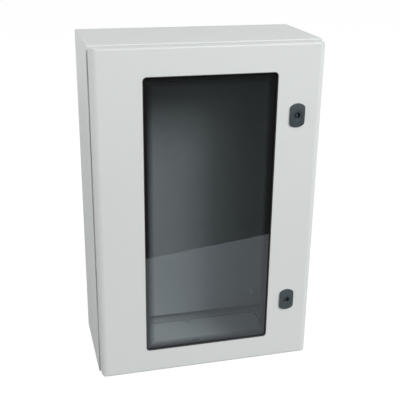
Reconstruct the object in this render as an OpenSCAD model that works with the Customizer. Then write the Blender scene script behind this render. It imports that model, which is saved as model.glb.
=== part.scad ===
// Wall-mounting steel enclosure with a glazed door, two quarter-turn locks and concealed hinges.
// Units are millimetres. X runs to the right, Y to the back and Z up; the origin is under the middle
// of the box that holds the whole enclosure. Modules work in depths counted back from the door's face.

/* [Body] */
// Width of the body
body_w = 400; // [360:10:800]
// Height of the body
body_h = 600; // [500:10:1200]
// Depth from the face of the door to the wall
body_d = 200; // [180:5:400]
// Thickness of the body's sheet steel
body_sheet = 1.5; // [1.2:0.1:2]
// Outside radius of the body's folded edges
body_edge_r = 2; // [2:0.5:6]
// Width of the front flange on the hinge and lock sides, up to the middle of its lip
side_flange = 28; // [27:0.5:29]
// Width of the front flange at the top and the bottom, up to the middle of its lip
end_flange = 20; // [18:0.5:20]
// Diameter of the wall fixing holes
wall_hole_d = 9; // [7:0.5:11]
// Distance from the wall fixing holes to the sides of the body
wall_hole_side = 50; // [45:1:70]
// Distance from the wall fixing holes to the top and the bottom of the body
wall_hole_end = 25; // [22:1:32]

/* [Door] */
// Step from the body's outline in to the door's outline
door_step = 2; // [1.5:0.5:4]
// Thickness of the door's sheet steel
door_sheet = 1.5; // [1.2:0.1:2]
// Radius of the door's rolled upright edges
door_edge_r = 12; // [10:0.5:12.5]
// Radius of the door's folded top and bottom edges
door_end_r = 3; // [2.5:0.5:8]
// Radius of the door's corners, seen from the front
door_corner_r = 8; // [4:0.5:9]
// Depth of the door's folded edge
door_return = 21; // [20:0.5:24]
// Gap between the door's folded edge and the body
closing_gap = 4; // [3.5:0.5:6]
// Width of the foamed door seal
door_seal_w = 10; // [8:0.5:11]
// Thickness of the foamed door seal
door_seal_t = 8; // [6:0.5:8.5]

/* [Window] */
// Distance from the sides of the body to the window cut-out
window_side = 85; // [84:1:120]
// Mean distance from the top and bottom of the body to the window cut-out
window_end = 47.5; // [47.5:0.5:90]
// How far the middle of the window and of the locks lies below the middle of the body
window_drop = 1.5; // [0:0.5:1.5]
// Corner radius of the window cut-out
window_r = 7; // [5:0.5:12]
// Thickness of the glass
pane_t = 4; // [3:0.5:6]
// Overlap of the glass behind the door
pane_lap = 9; // [7:0.5:9.5]
// Thickness of the rubber between the door and the glass
window_seal_t = 2; // [2:0.5:4]
// Width of rubber that shows inside the cut-out
window_seal_sight = 1.5; // [1:0.5:4]
// Thickness of the steel strips that hold the glass
retainer_t = 1.5; // [1:0.1:2]

/* [Locks] */
// Distance from the lock axis to the side of the body
lock_inset = 48.5; // [46:0.5:50]
// Mean distance from the lock axes to the top and the bottom of the body
lock_end = 123; // [80:1:200]
// Width of the lock's face plate
lock_w = 26.5; // [24:0.5:30]
// Height of the lock's face plate
lock_h = 42; // [38:0.5:48]
// Radius of the face plate's arched ends
lock_arc_r = 18; // [16:0.5:20]
// Radius of the face plate's corners
lock_corner_r = 5.5; // [4:0.5:7]
// Thickness of the lock's face plate
lock_plate_t = 2.7; // [2:0.1:4]
// How far the crowned face plate falls away towards its ends
lock_crown = 1.4; // [0.6:0.1:1.6]
// Radius of the key barrel
barrel_r = 8; // [7.5:0.1:8.2]
// Length of the lock's threaded body behind the door's face
lock_body_l = 22; // [20:0.5:24]
// Thickness of the cam
cam_t = 2.5; // [2:0.1:4]
// Width of the cam
cam_w = 15; // [12:0.5:17]
// How far the cam reaches behind the flange
cam_catch = 13; // [8:0.5:18]

/* [Hinges] */
// Distance from the hinges to the top and the bottom of the body
hinge_end = 100; // [70:5:200]
// Distance from the hinge pin to the edge of the door
hinge_inset = 9; // [8.5:0.25:9.25]
// Diameter of the hinge pins
pin_d = 5; // [4:0.5:6]
// Radius of the hinge knuckles
knuckle_r = 5; // [4.5:0.25:5.5]
// Height of the middle knuckle
knuckle_h = 18; // [14:1:24]
// Thickness of the hinge's foot on the body
hinge_foot_t = 1.5; // [1.2:0.1:1.8]

/* [Inside] */
// Thickness of the mounting plate
plate_t = 2; // [1.5:0.25:3]
// Distance from the mounting plate to the sides of the body
plate_side = 35; // [34:1:50]
// Distance from the mounting plate to the top and bottom of the body
plate_end = 15; // [12:1:50]
// Distance from the plate's fixings to its sides
plate_hole_side = 20; // [15:1:40]
// Distance from the plate's fixings to its top and bottom
plate_hole_end = 32; // [28:1:60]
// Length cropped off the plate's corners
plate_crop = 12; // [6:1:14]
// Stand-off between the back of the body and the mounting plate
plate_standoff = 22; // [15:1:40]
// Distance from the gland plate to the sides of the body
gland_side = 55; // [40:1:100]
// Depth of the gland plate
gland_d = 90; // [70:5:110]
// Distance from the back of the body to the gland plate
gland_back = 38; // [35:1:60]
// Thickness of the gland plate
gland_t = 2; // [1.5:0.25:3]
// Thickness of the gland plate's rubber seal
gland_seal_t = 2; // [1:0.25:3]
// Width of the gland plate's rubber seal
gland_seal_w = 14; // [12:0.5:18]
// How far the gland plate's rubber seal stands out past the plate
gland_seal_over = 1.5; // [0.5:0.5:3]

/* [Hidden] */
$fn = 64;

// Finishes
paint_grey = [0.83, 0.85, 0.84];
lock_grey = [0.25, 0.28, 0.29];
rubber_black = [0.06, 0.06, 0.06];
foam_grey = [0.2, 0.2, 0.21];
zinc = [0.72, 0.73, 0.74];
earth_brass = [0.78, 0.62, 0.3];
glass_smoke = [0.3, 0.33, 0.34, 0.5];

// Clearances
slip = 0.1;           // between a stud and the nut or hole around it
run = 0.05;           // around a shaft that turns
apart = 0.3;          // between pieces that move past each other
swing_clear = 0.6;    // between the swinging door edge and the hinge foot
past = 1;             // how far a cut runs past the face that it opens

// Places
lock_seal_t = 0.8;
lock_proud = lock_plate_t + lock_seal_t;
front_y = (lock_proud - body_d) / 2;
mid_z = body_h / 2;
back_y = body_d - body_sheet;
body_front = door_return + closing_gap;
flange_back = body_front + body_sheet;

// Front flange and its lip, given by the lip's middle line
lip_hw = body_w / 2 - side_flange;
lip_hh = body_h / 2 - end_flange;
lip_r = 10;
lip_front = door_sheet + door_seal_t + apart;
seal_dome_r = 3.5;

// Door
door_w = body_w - 2 * door_step;
door_h = body_h - 2 * door_step;

// Window: half sizes of the glass and of the rubber behind the door
window_w = body_w - 2 * window_side;
window_h = body_h - 2 * window_end;
pane_hw = window_w / 2 + pane_lap;
pane_hh = window_h / 2 + pane_lap;
pane_r = 3;
pane_front = door_sheet + window_seal_t;
pane_back = pane_front + pane_t;
seal_over = 0.5;
rim_back = 0.2;

// Strips that hold the glass
retainer_gap = 1;
retainer_lap = 10;
retainer_foot = 9;
retainer_web = retainer_gap + retainer_t;
retainer_stud_at = retainer_web + retainer_foot / 2;
retainer_stud_end = 35;
retainer_upright_z = [for (i = [-3 : 2 : 3]) i / 3 * (pane_hh - retainer_stud_end)];
retainer_level_x = [for (i = [-1 : 1]) i * (pane_hw - retainer_stud_end)];

// Small fasteners
m4_r = 2;
m4_nut_r = 4;
m4_nut_t = 3.2;
m4_stud_l = 7;
m6_r = 3;
m6_nut_r = 5.77;
m6_nut_t = 5;
m6_washer_r = 6;
m6_washer_t = 1.6;
m6_stud_l = 16;
m6_head_r = 5;
m6_head_t = 4;
m8_r = 4;
m8_nut_r = 7.5;
m8_nut_t = 6.5;
m8_washer_r = 8.4;
m8_washer_t = 1.6;
m8_stud_l = 20;

// Locks
lock_x = body_w / 2 - lock_inset;
lock_z = [body_h - lock_end - window_drop, lock_end - window_drop];
lock_wall = 1.7;
lock_body_r = barrel_r + lock_wall;
lock_hole_r = lock_body_r + slip;
lock_seal_in = 0.6;
lock_arc_z = lock_h / 2 - lock_arc_r;
lock_corner_x = lock_w / 2 - lock_corner_r;
lock_corner_rise = sqrt(pow(lock_arc_r - lock_corner_r, 2) - lock_corner_x * lock_corner_x);
lock_corner_z = lock_arc_z + lock_corner_rise;
lock_crown_r = (lock_h * lock_h / 4 + lock_crown * lock_crown) / (2 * lock_crown);
crown_facets = 360;
lock_sink = 0.7;
lock_nut_r = 12.7;
lock_nut_t = 5;
barrel_l = 10;
neck_r = barrel_r - 1.5;
key_r = 5.2;
key_depth = 7;
key_post_r = 2.4;
key_wing_w = 2.2;
key_wing_r = 4.2;
cam_front = flange_back + past;
cam_square = 8;
cam_reach = lip_hw - lock_x + cam_catch;
cam_screw_r = 2.5;
cam_screw_l = 9;
cam_screw_head_r = 5.5;
cam_screw_head_t = 3.2;

// Hinges: the pin stands at the centre depth of the door's rolled edge
hinge_x = -door_w / 2 + hinge_inset;
hinge_y = door_edge_r;
hinge_z = [body_h - hinge_end, hinge_end];
hinge_swing = body_front - hinge_foot_t - swing_clear - hinge_y;
hinge_return = hinge_y + sqrt(hinge_swing * hinge_swing - hinge_inset * hinge_inset);
hinge_arm_t = 3;
hinge_leg_t = 3.2;
hinge_leg_x = -lip_hw - body_sheet / 2 - apart - hinge_leg_t;
hinge_foot_hh = 25;
hinge_foot_x = -body_w / 2 + body_edge_r;
hinge_screw_x = (hinge_foot_x + hinge_leg_x) / 2;
hinge_screw_z = 17;
hinge_screw_head_r = 3.4;
leaf_knuckle_h = 13;
leaf_t = 2;
leaf_x = -door_w / 2 + door_edge_r;
leaf_end_x = -lip_hw - door_seal_w / 2 - apart;
leaf_arm_w = 3;
leaf_tab = 10;
leaf_hh = knuckle_h / 2 + apart + leaf_knuckle_h + leaf_tab;
leaf_stud_x = (leaf_x + leaf_end_x) / 2;
leaf_stud_z = leaf_hh - leaf_tab / 2;
pin_head_r = 3.6;
pin_head_t = 2;
pin_top = knuckle_h / 2 + apart + leaf_knuckle_h + apart;

// Inside
plate_w = body_w - 2 * plate_side;
plate_h = body_h - 2 * plate_end;
plate_back = back_y - plate_standoff;
plate_front = plate_back - plate_t;
plate_hole_x = plate_w / 2 - plate_hole_side;
plate_hole_z = plate_h / 2 - plate_hole_end;
stud_over = 4;
plate_stud_front = plate_front - m8_washer_t - m8_nut_t - stud_over;
spacer_r = 7;
gland_w = body_w - 2 * gland_side;
gland_corner_r = 4;
gland_screw_up = 0.3;
gland_y = back_y - gland_back - gland_d / 2;
gland_floor = body_sheet + gland_seal_t;
gland_screw_x = gland_w / 2 - gland_seal_w / 2;
gland_screw_y = gland_d / 2 - gland_seal_w / 2;
earth_y = 70;
earth_z = 60;
door_earth_x = -(pane_hw + retainer_web + retainer_foot + lip_hw - door_seal_w / 2) / 2;
door_earth_z = 90;

// Rectangle of a given size with round corners, centred
module rounded_rect(w, h, r) {
    square([w - 2 * r, h], center = true);
    square([w, h - 2 * r], center = true);
    for (sx = [-1, 1], sy = [-1, 1]) translate([sx * (w / 2 - r), sy * (h / 2 - r)]) circle(r);
}

// Front-view outline, centred on the middle of the body, as a slab between two depths
module slab(y0, y1) {
    translate([0, y1, mid_z]) rotate([90, 0, 0]) linear_extrude(y1 - y0) children();
}

// Profile carried round a rectangle with round corners, in the front view: the profile's first axis
// points outwards from the rectangle's line, and its second axis runs back
module carried_round(hw, hh, r) {
    translate([0, 0, mid_z]) for (s = [0, 1]) {
        mirror([s, 0, 0]) translate([hw, 0, 0]) linear_extrude(2 * (hh - r), center = true) children();
        mirror([0, 0, s]) translate([0, 0, hh]) rotate([0, -90, 0])
            linear_extrude(2 * (hw - r), center = true) children();
        for (t = [0, 1]) mirror([s, 0, 0]) mirror([0, 0, t]) translate([hw - r, 0, r - hh])
            rotate([-90, 0, 0]) rotate_extrude(angle = 90) translate([r, 0]) children();
    }
}

// Round bar from one depth to another, at a place in the front view
module bar(x, z, y0, y1, r) {
    translate([x, y1, z]) rotate([90, 0, 0]) cylinder(r = r, h = y1 - y0);
}

// Hexagon nut with its hole, from a depth backwards
module nut(x, z, y0, t, r, hole_r) {
    translate([x, y0 + t, z]) rotate([90, 0, 0]) difference() {
        cylinder(r = r, h = t, $fn = 6);
        translate([0, 0, -past]) cylinder(r = hole_r + slip, h = t + 2 * past);
    }
}

// Cross-section of a folded panel: a flat face at depth y0, round edges, sides running back to y1
module folded_section(w, y0, y1, r) {
    translate([-w / 2, y0 + r]) square([w, y1 - y0 - r]);
    translate([-w / 2 + r, y0]) square([w - 2 * r, y1 - y0]);
    for (s = [-1, 1]) translate([s * (w / 2 - r), y0 + r]) circle(r);
}

// Cross-section of a closed box with round edges at its front and its back
module boxed_section(w, y0, y1, r) {
    translate([0, (y0 + y1) / 2]) rounded_rect(w, y1 - y0, r);
}

// Bodies whose plan and side sections are the same kind of outline
module crossed(w, h) {
    intersection() {
        translate([0, 0, mid_z - h / 2 - past]) linear_extrude(h + 2 * past) children(0);
        translate([-w / 2 - past, 0, mid_z]) rotate([90, 0, 90])
            linear_extrude(w + 2 * past) mirror([1, -1]) children(1);
    }
}

// Everything is drawn in depths from the door's face and then set on the common origin
module placed() {
    translate([0, front_y, 0]) children();
}

// The window and what holds it have a middle of their own
module at_window() {
    translate([0, 0, -window_drop]) children();
}

// Body

// Solid form of the body, taken in by t on every side
module body_form(t) {
    w = body_w - 2 * t;
    h = body_h - 2 * t;
    r = body_edge_r - t;
    intersection() {
        crossed(w, h) {
            boxed_section(w, body_front + t, body_d - t, r);
            boxed_section(h, body_front + t, body_d - t, r);
        }
        slab(body_front + t - past, body_d - t + past) rounded_rect(w, h, r);
    }
}

module wall_holes() {
    hole_x = body_w / 2 - wall_hole_side;
    hole_z = body_h / 2 - wall_hole_end;
    for (sx = [-1, 1], sz = [-1, 1])
        bar(sx * hole_x, mid_z + sz * hole_z, back_y - past, body_d + past, wall_hole_d / 2);
}

module gland_opening() {
    translate([0, gland_y, body_sheet / 2])
        cube([gland_w - 2 * gland_seal_w, gland_d - 2 * gland_seal_w, body_sheet + 2 * past], center = true);
}

module at_gland_screws() {
    for (sx = [-1, 0, 1], sy = [-1, 1])
        translate([sx * gland_screw_x, gland_y + sy * gland_screw_y, 0]) children();
}

// Folded and welded steel shell: four walls, back, front flange and the lip that meets the door seal
module body_shell() {
    opening_hw = lip_hw - body_sheet / 2;
    opening_hh = lip_hh - body_sheet / 2;
    color(paint_grey) placed() difference() {
        union() {
            difference() {
                body_form(0);
                body_form(body_sheet);
            }
            slab(lip_front, flange_back)
                rounded_rect(2 * lip_hw + body_sheet, 2 * lip_hh + body_sheet, lip_r);
        }
        slab(lip_front - past, flange_back + past)
            rounded_rect(2 * opening_hw, 2 * opening_hh, lip_r - body_sheet);
        wall_holes();
        gland_opening();
        at_gland_screws() translate([0, 0, -past]) cylinder(r = m6_r + slip, h = body_sheet + 2 * past);
        for (z = hinge_z, sz = [-1, 1])
            bar(hinge_screw_x, z + sz * hinge_screw_z, body_front - past, flange_back + past, m4_r + slip);
    }
}

// Plate that closes the cable opening in the floor
module gland_plate() {
    color(paint_grey) placed() difference() {
        translate([0, gland_y, gland_floor]) linear_extrude(gland_t)
            rounded_rect(gland_w, gland_d, gland_corner_r);
        at_gland_screws() translate([0, 0, gland_floor - past])
            cylinder(r = m6_r + slip, h = gland_t + 2 * past);
    }
}

// Flat rubber frame under the gland plate
module gland_plate_seal() {
    color(rubber_black) placed() difference() {
        translate([0, gland_y, body_sheet]) linear_extrude(gland_seal_t) difference() {
            rounded_rect(gland_w + 2 * gland_seal_over, gland_d + 2 * gland_seal_over,
                gland_corner_r + gland_seal_over);
            square([gland_w - 2 * gland_seal_w, gland_d - 2 * gland_seal_w], center = true);
        }
        at_gland_screws() cylinder(r = m6_r + slip, h = gland_floor + past);
    }
}

module gland_plate_screws() {
    top = gland_floor + gland_t;
    color(zinc) placed() at_gland_screws() {
        translate([0, 0, gland_screw_up]) cylinder(r = m6_r, h = top - gland_screw_up);
        translate([0, 0, top]) cylinder(r = m6_washer_r, h = m6_washer_t);
        translate([0, 0, top + m6_washer_t]) cylinder(r = m6_head_r, h = m6_head_t, $fn = 6);
    }
}

// Inside

module at_plate_fixings() {
    for (sx = [-1, 1], sz = [-1, 1]) translate([sx * plate_hole_x, 0, mid_z + sz * plate_hole_z]) children();
}

// Galvanised plate that carries the equipment, with cropped corners
module mounting_plate() {
    crop = plate_crop * sqrt(2);
    color(zinc) placed() difference() {
        slab(plate_front, plate_back) difference() {
            square([plate_w, plate_h], center = true);
            for (sx = [-1, 1], sz = [-1, 1]) translate([sx * plate_w / 2, sz * plate_h / 2])
                rotate(45) square(crop, center = true);
        }
        at_plate_fixings() bar(0, 0, plate_front - past, plate_back + past, m8_r + slip);
    }
}

module plate_studs() {
    color(zinc) placed() at_plate_fixings() bar(0, 0, plate_stud_front, back_y, m8_r);
}

// Sleeve of a given bore, along a depth range
module sleeve(y0, y1, r, hole_r) {
    difference() {
        bar(0, 0, y0, y1, r);
        bar(0, 0, y0 - past, y1 + past, hole_r + slip);
    }
}

module plate_spacers() {
    color(zinc) placed() at_plate_fixings() sleeve(plate_back, back_y, spacer_r, m8_r);
}

module plate_washers() {
    color(zinc) placed() at_plate_fixings() sleeve(plate_front - m8_washer_t, plate_front, m8_washer_r, m8_r);
}

module plate_nuts() {
    color(zinc) placed() at_plate_fixings()
        nut(0, 0, plate_front - m8_washer_t - m8_nut_t, m8_nut_t, m8_nut_r, m8_r);
}

// Turns a part that runs back along a depth into one that runs inwards from the right wall
module at_body_earth() {
    translate([body_w / 2 - body_sheet, earth_y, earth_z]) rotate([0, 0, 90]) children();
}

module body_earth_stud() {
    color(earth_brass) placed() at_body_earth() bar(0, 0, 0, m8_stud_l, m8_r);
}

module body_earth_nuts() {
    color(earth_brass) placed() at_body_earth() {
        nut(0, 0, 0, m8_nut_t, m8_nut_r, m8_r);
        translate([0, m8_nut_t, 0]) sleeve(0, m8_washer_t, m8_washer_r, m8_r);
        nut(0, 0, m8_nut_t + m8_washer_t, m8_nut_t, m8_nut_r, m8_r);
    }
}

// Door

// Solid form of the door, taken in by t, running back to depth y1
module door_form(t, y1) {
    w = door_w - 2 * t;
    h = door_h - 2 * t;
    intersection() {
        crossed(w, h) {
            folded_section(w, t, y1, door_edge_r - t);
            folded_section(h, t, y1, door_end_r - t);
        }
        slab(t - past, y1) rounded_rect(w, h, door_corner_r - t);
    }
}

// Pressed steel door with rolled upright edges; the fold is lower near the hinges so that it can swing
module door_panel() {
    low_x = hinge_x + hinge_inset;
    color(paint_grey) placed() difference() {
        door_form(0, door_return);
        door_form(door_sheet, door_return + past);
        at_window() slab(-past, door_sheet + past) rounded_rect(window_w, window_h, window_r);
        translate([-door_w / 2 - past, hinge_return, -past])
            cube([low_x + door_w / 2 + past, door_return, body_h + 2 * past]);
        for (z = lock_z) bar(lock_x, z, -past, door_sheet + past, lock_hole_r);
    }
}

// Foamed seal that the lip of the body presses into: a bead with a domed back, carried round the lip's line
module door_seal() {
    dome_y = door_sheet + door_seal_t - seal_dome_r;
    color(foam_grey) placed() carried_round(lip_hw, lip_hh, lip_r - body_sheet / 2) {
        translate([-door_seal_w / 2, door_sheet]) square([door_seal_w, door_seal_t - seal_dome_r]);
        translate([seal_dome_r - door_seal_w / 2, door_sheet])
            square([door_seal_w - 2 * seal_dome_r, door_seal_t]);
        for (s = [-1, 1]) translate([s * (door_seal_w / 2 - seal_dome_r), dome_y]) circle(seal_dome_r);
    }
}

// Rubber frame behind the cut-out, with a narrow rim that covers the cut edge of the steel
module window_seal() {
    color(rubber_black) placed() at_window() difference() {
        union() {
            slab(door_sheet, pane_front)
                rounded_rect(2 * (pane_hw + seal_over), 2 * (pane_hh + seal_over), pane_r + seal_over);
            slab(rim_back, door_sheet)
                rounded_rect(window_w - 2 * slip, window_h - 2 * slip, window_r - slip);
        }
        slab(rim_back - past, pane_front + past)
            rounded_rect(window_w - 2 * window_seal_sight, window_h - 2 * window_seal_sight,
                window_r - window_seal_sight);
    }
}

// Smoked safety glass
module window_pane() {
    color(glass_smoke) placed() at_window()
        slab(pane_front, pane_back) rounded_rect(2 * pane_hw, 2 * pane_hh, pane_r);
}

// Section of a glass-holding strip: foot on the door, web past the glass, flange on the glass.
// The first axis runs outwards from the edge of the glass and the second runs back.
module retainer_section() {
    translate([retainer_gap, door_sheet]) square([retainer_t + retainer_foot, retainer_t]);
    translate([retainer_gap, door_sheet]) square([retainer_t, pane_back + retainer_t - door_sheet]);
    translate([-retainer_lap, pane_back]) square([retainer_lap + retainer_web, retainer_t]);
}

module retainer_upright(side) {
    color(zinc) placed() at_window() difference() {
        translate([side * pane_hw, 0, mid_z - pane_hh]) linear_extrude(2 * pane_hh)
            mirror([side < 0 ? 1 : 0, 0]) retainer_section();
        for (z = retainer_upright_z)
            bar(side * (pane_hw + retainer_stud_at), mid_z + z, 0, pane_back, m4_r + slip);
    }
}

module retainer_level(side) {
    half = pane_hw - retainer_lap - apart;
    color(zinc) placed() at_window() difference() {
        translate([-half, 0, mid_z + side * pane_hh]) rotate([90, 0, 90]) linear_extrude(2 * half)
            mirror([0, side < 0 ? 1 : 0]) mirror([1, -1]) retainer_section();
        for (x = retainer_level_x)
            bar(x, mid_z + side * (pane_hh + retainer_stud_at), 0, pane_back, m4_r + slip);
    }
}

module at_retainer_studs() {
    for (side = [-1, 1]) {
        for (z = retainer_upright_z)
            translate([side * (pane_hw + retainer_stud_at), 0, mid_z + z]) children();
        for (x = retainer_level_x)
            translate([x, 0, mid_z + side * (pane_hh + retainer_stud_at)]) children();
    }
}

module retainer_studs() {
    color(zinc) placed() at_window() at_retainer_studs() bar(0, 0, door_sheet, door_sheet + m4_stud_l, m4_r);
}

module retainer_nuts() {
    color(zinc) placed() at_window() at_retainer_studs()
        nut(0, 0, door_sheet + retainer_t, m4_nut_t, m4_nut_r, m4_r);
}

module door_earth_stud() {
    color(earth_brass) placed() bar(door_earth_x, door_earth_z, door_sheet, door_sheet + m6_stud_l, m6_r);
}

module door_earth_nuts() {
    color(earth_brass) placed() {
        nut(door_earth_x, door_earth_z, door_sheet, m6_nut_t, m6_nut_r, m6_r);
        translate([door_earth_x, 0, door_earth_z])
            sleeve(door_sheet + m6_nut_t, door_sheet + m6_nut_t + m6_washer_t, m6_washer_r, m6_r);
        nut(door_earth_x, door_earth_z, door_sheet + m6_nut_t + m6_washer_t, m6_nut_t, m6_nut_r, m6_r);
    }
}

// Locks

// Outline of the lock's face, taken in by t: straight sides, arched ends and round corners whose arcs
// touch the side and the arch
module lock_sides(t) {
    square([lock_w - 2 * t, 2 * lock_corner_z], center = true);
}

module lock_corner(t, sx) {
    translate([sx * lock_corner_x, lock_corner_z]) circle(lock_corner_r - t);
}

module lock_arch(t) {
    reach = lock_h / lock_corner_rise;
    translate([0, lock_arc_z]) intersection() {
        circle(lock_arc_r - t);
        polygon([[0, 0], reach * [lock_corner_x, lock_corner_rise],
            reach * [-lock_corner_x, lock_corner_rise]]);
    }
}

module lock_outline(t) {
    lock_sides(t);
    for (s = [0, 1]) mirror([0, s]) {
        for (sx = [-1, 1]) lock_corner(t, sx);
        lock_arch(t);
    }
}

// Puts a lock piece, drawn around its axis, at one of the two locks
module at_lock(i) {
    translate([lock_x, 0, lock_z[i]]) children();
}

// Outline around the lock axis as a plate between two depths
module lock_slab(y0, y1) {
    translate([0, y1, 0]) rotate([90, 0, 0]) linear_extrude(y1 - y0) children();
}

// Slab of the face plate's thickness under a large level cylinder, which crowns it
module crowned() {
    intersection() {
        lock_slab(-lock_proud - past, -lock_seal_t) children();
        translate([0, lock_crown_r - lock_proud, 0]) rotate([0, 90, 0])
            cylinder(r = lock_crown_r, h = 2 * lock_w, center = true, $fn = crown_facets);
    }
}

module lock_face() {
    crowned() lock_sides(0);
    for (s = [0, 1]) mirror([0, 0, s]) {
        for (sx = [-1, 1]) crowned() lock_corner(0, sx);
        crowned() lock_arch(0);
    }
}

// Die-cast lock body: crowned face plate and a threaded tube through the door
module lock_housing(i) {
    color(lock_grey) placed() at_lock(i) difference() {
        union() {
            lock_face();
            bar(0, 0, -lock_seal_t - past, lock_body_l, lock_body_r);
        }
        bar(0, 0, -lock_proud - past, barrel_l + run, barrel_r + run);
        bar(0, 0, 0, lock_body_l + past, neck_r + run);
    }
}

module lock_seal(i) {
    color(rubber_black) placed() at_lock(i) difference() {
        lock_slab(-lock_seal_t, 0) lock_outline(lock_seal_in);
        bar(0, 0, -lock_seal_t - past, past, lock_hole_r);
    }
}

module lock_nut(i) {
    color(zinc) placed() at_lock(i) nut(0, 0, door_sheet, lock_nut_t, lock_nut_r, lock_body_r);
}

// Key barrel with a double-bit key recess, ending in a square for the cam
module lock_barrel(i) {
    face = -lock_proud + lock_sink;
    color(lock_grey) placed() at_lock(i) difference() {
        union() {
            difference() {
                bar(0, 0, face, barrel_l, barrel_r);
                bar(0, 0, face - past, face + key_depth, key_r);
            }
            bar(0, 0, face + past, face + key_depth + past, key_post_r);
            translate([-key_wing_w / 2, face + past, -key_wing_r])
                cube([key_wing_w, key_depth, 2 * key_wing_r]);
            bar(0, 0, barrel_l - past, cam_front, neck_r);
            translate([-cam_square / 2, cam_front - past, -cam_square / 2])
                cube([cam_square, cam_t + past, cam_square]);
        }
        bar(0, 0, cam_front + cam_t - cam_screw_l, cam_front + cam_t + past, cam_screw_r + slip);
    }
}

// Cam that turns behind the flange; it hangs down when the lock is open
module lock_cam(i) {
    color(zinc) placed() at_lock(i) lock_slab(cam_front, cam_front + cam_t) difference() {
        union() {
            circle(cam_square);
            translate([-cam_w / 2, cam_w / 2 - cam_reach]) square([cam_w, cam_reach - cam_w / 2]);
            translate([0, cam_w / 2 - cam_reach]) circle(cam_w / 2);
        }
        square(cam_square + 2 * slip, center = true);
    }
}

module lock_screw(i) {
    end = cam_front + cam_t;
    color(zinc) placed() at_lock(i) {
        bar(0, 0, end - cam_screw_l + past, end, cam_screw_r);
        bar(0, 0, end, end + m6_washer_t, cam_square);
        bar(0, 0, end + m6_washer_t, end + m6_washer_t + cam_screw_head_t, cam_screw_head_r);
    }
}

// Hinges

// Upright round bar on the hinge axis, centred on the hinge
module hinge_bar(z0, z1, r) {
    translate([hinge_x, hinge_y, z0]) cylinder(r = r, h = z1 - z0);
}

module hinge_bore(r) {
    hinge_bar(-pin_top - past, pin_top + past, r);
}

module at_hinge_screws() {
    for (sz = [-1, 1]) translate([hinge_screw_x, 0, sz * hinge_screw_z]) children();
}

// Body half: foot on the flange, leg beside the lip and an arm round to the pin
module hinge_base(i) {
    hh = knuckle_h / 2;
    color(zinc) placed() translate([0, 0, hinge_z[i]]) difference() {
        union() {
            hinge_bar(-hh, hh, knuckle_r);
            translate([hinge_x, hinge_y - hinge_arm_t / 2, -hh])
                cube([hinge_leg_x + hinge_leg_t - hinge_x, hinge_arm_t, knuckle_h]);
            translate([hinge_leg_x, hinge_y - hinge_arm_t / 2, -hh])
                cube([hinge_leg_t, body_front - hinge_y + hinge_arm_t / 2, knuckle_h]);
            translate([hinge_foot_x, body_front - hinge_foot_t, -hinge_foot_hh])
                cube([hinge_leg_x + hinge_leg_t - hinge_foot_x, hinge_foot_t, 2 * hinge_foot_hh]);
        }
        hinge_bore(pin_d / 2 + run);
        at_hinge_screws() translate([0, body_front, 0]) rotate([90, 0, 0])
            cylinder(r1 = m4_r + slip, r2 = hinge_screw_head_r + slip, h = hinge_foot_t);
    }
}

// Door half: two knuckles on arms from a foot behind the door's face
module hinge_leaf(i) {
    z0 = knuckle_h / 2 + apart;
    color(zinc) placed() translate([0, 0, hinge_z[i]]) difference() {
        union() {
            translate([leaf_x, door_sheet, -leaf_hh]) cube([leaf_end_x - leaf_x, leaf_t, 2 * leaf_hh]);
            for (s = [0, 1]) mirror([0, 0, s]) {
                hinge_bar(z0, z0 + leaf_knuckle_h, knuckle_r);
                translate([leaf_x, door_sheet, z0])
                    cube([leaf_arm_w, hinge_y - door_sheet, leaf_knuckle_h]);
            }
        }
        hinge_bore(pin_d / 2 + run);
        for (sz = [-1, 1]) bar(leaf_stud_x, sz * leaf_stud_z, 0, door_sheet + leaf_t + past, m4_r + slip);
    }
}

module hinge_pin(i) {
    color(zinc) placed() translate([0, 0, hinge_z[i]]) {
        hinge_bar(-pin_top, pin_top, pin_d / 2);
        hinge_bar(pin_top, pin_top + pin_head_t, pin_head_r);
    }
}

// Countersunk screws that hold the hinge feet to the flange
module hinge_screws() {
    color(zinc) placed() for (z = hinge_z) translate([0, 0, z]) at_hinge_screws() {
        translate([0, body_front, 0]) rotate([90, 0, 0])
            cylinder(r1 = m4_r, r2 = hinge_screw_head_r, h = hinge_foot_t);
        bar(0, 0, body_front, flange_back + m4_nut_t + past, m4_r);
    }
}

module hinge_screw_nuts() {
    color(zinc) placed() for (z = hinge_z) translate([0, 0, z]) at_hinge_screws()
        nut(0, 0, flange_back, m4_nut_t, m4_nut_r, m4_r);
}

module at_leaf_studs() {
    for (z = hinge_z, sz = [-1, 1]) translate([leaf_stud_x, 0, z + sz * leaf_stud_z]) children();
}

module hinge_leaf_studs() {
    color(zinc) placed() at_leaf_studs() bar(0, 0, door_sheet, door_sheet + m4_stud_l, m4_r);
}

module hinge_leaf_nuts() {
    nut_r = min(m4_nut_r, (leaf_end_x - leaf_x) / 2 + apart);
    color(zinc) placed() at_leaf_studs() nut(0, 0, door_sheet + leaf_t, m4_nut_t, nut_r, m4_r);
}

body_shell();
gland_plate();
gland_plate_seal();
gland_plate_screws();
mounting_plate();
plate_studs();
plate_spacers();
plate_washers();
plate_nuts();
body_earth_stud();
body_earth_nuts();
door_panel();
door_seal();
window_seal();
window_pane();
retainer_upright(-1);  // retainer_left
retainer_upright(1);  // retainer_right
retainer_level(1);  // retainer_top
retainer_level(-1);  // retainer_bottom
retainer_studs();
retainer_nuts();
door_earth_stud();
door_earth_nuts();
lock_housing(0);  // upper_lock_housing
lock_seal(0);  // upper_lock_seal
lock_nut(0);  // upper_lock_nut
lock_barrel(0);  // upper_lock_barrel
lock_cam(0);  // upper_lock_cam
lock_screw(0);  // upper_lock_screw
lock_housing(1);  // lower_lock_housing
lock_seal(1);  // lower_lock_seal
lock_nut(1);  // lower_lock_nut
lock_barrel(1);  // lower_lock_barrel
lock_cam(1);  // lower_lock_cam
lock_screw(1);  // lower_lock_screw
hinge_base(0);  // upper_hinge_base
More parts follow.
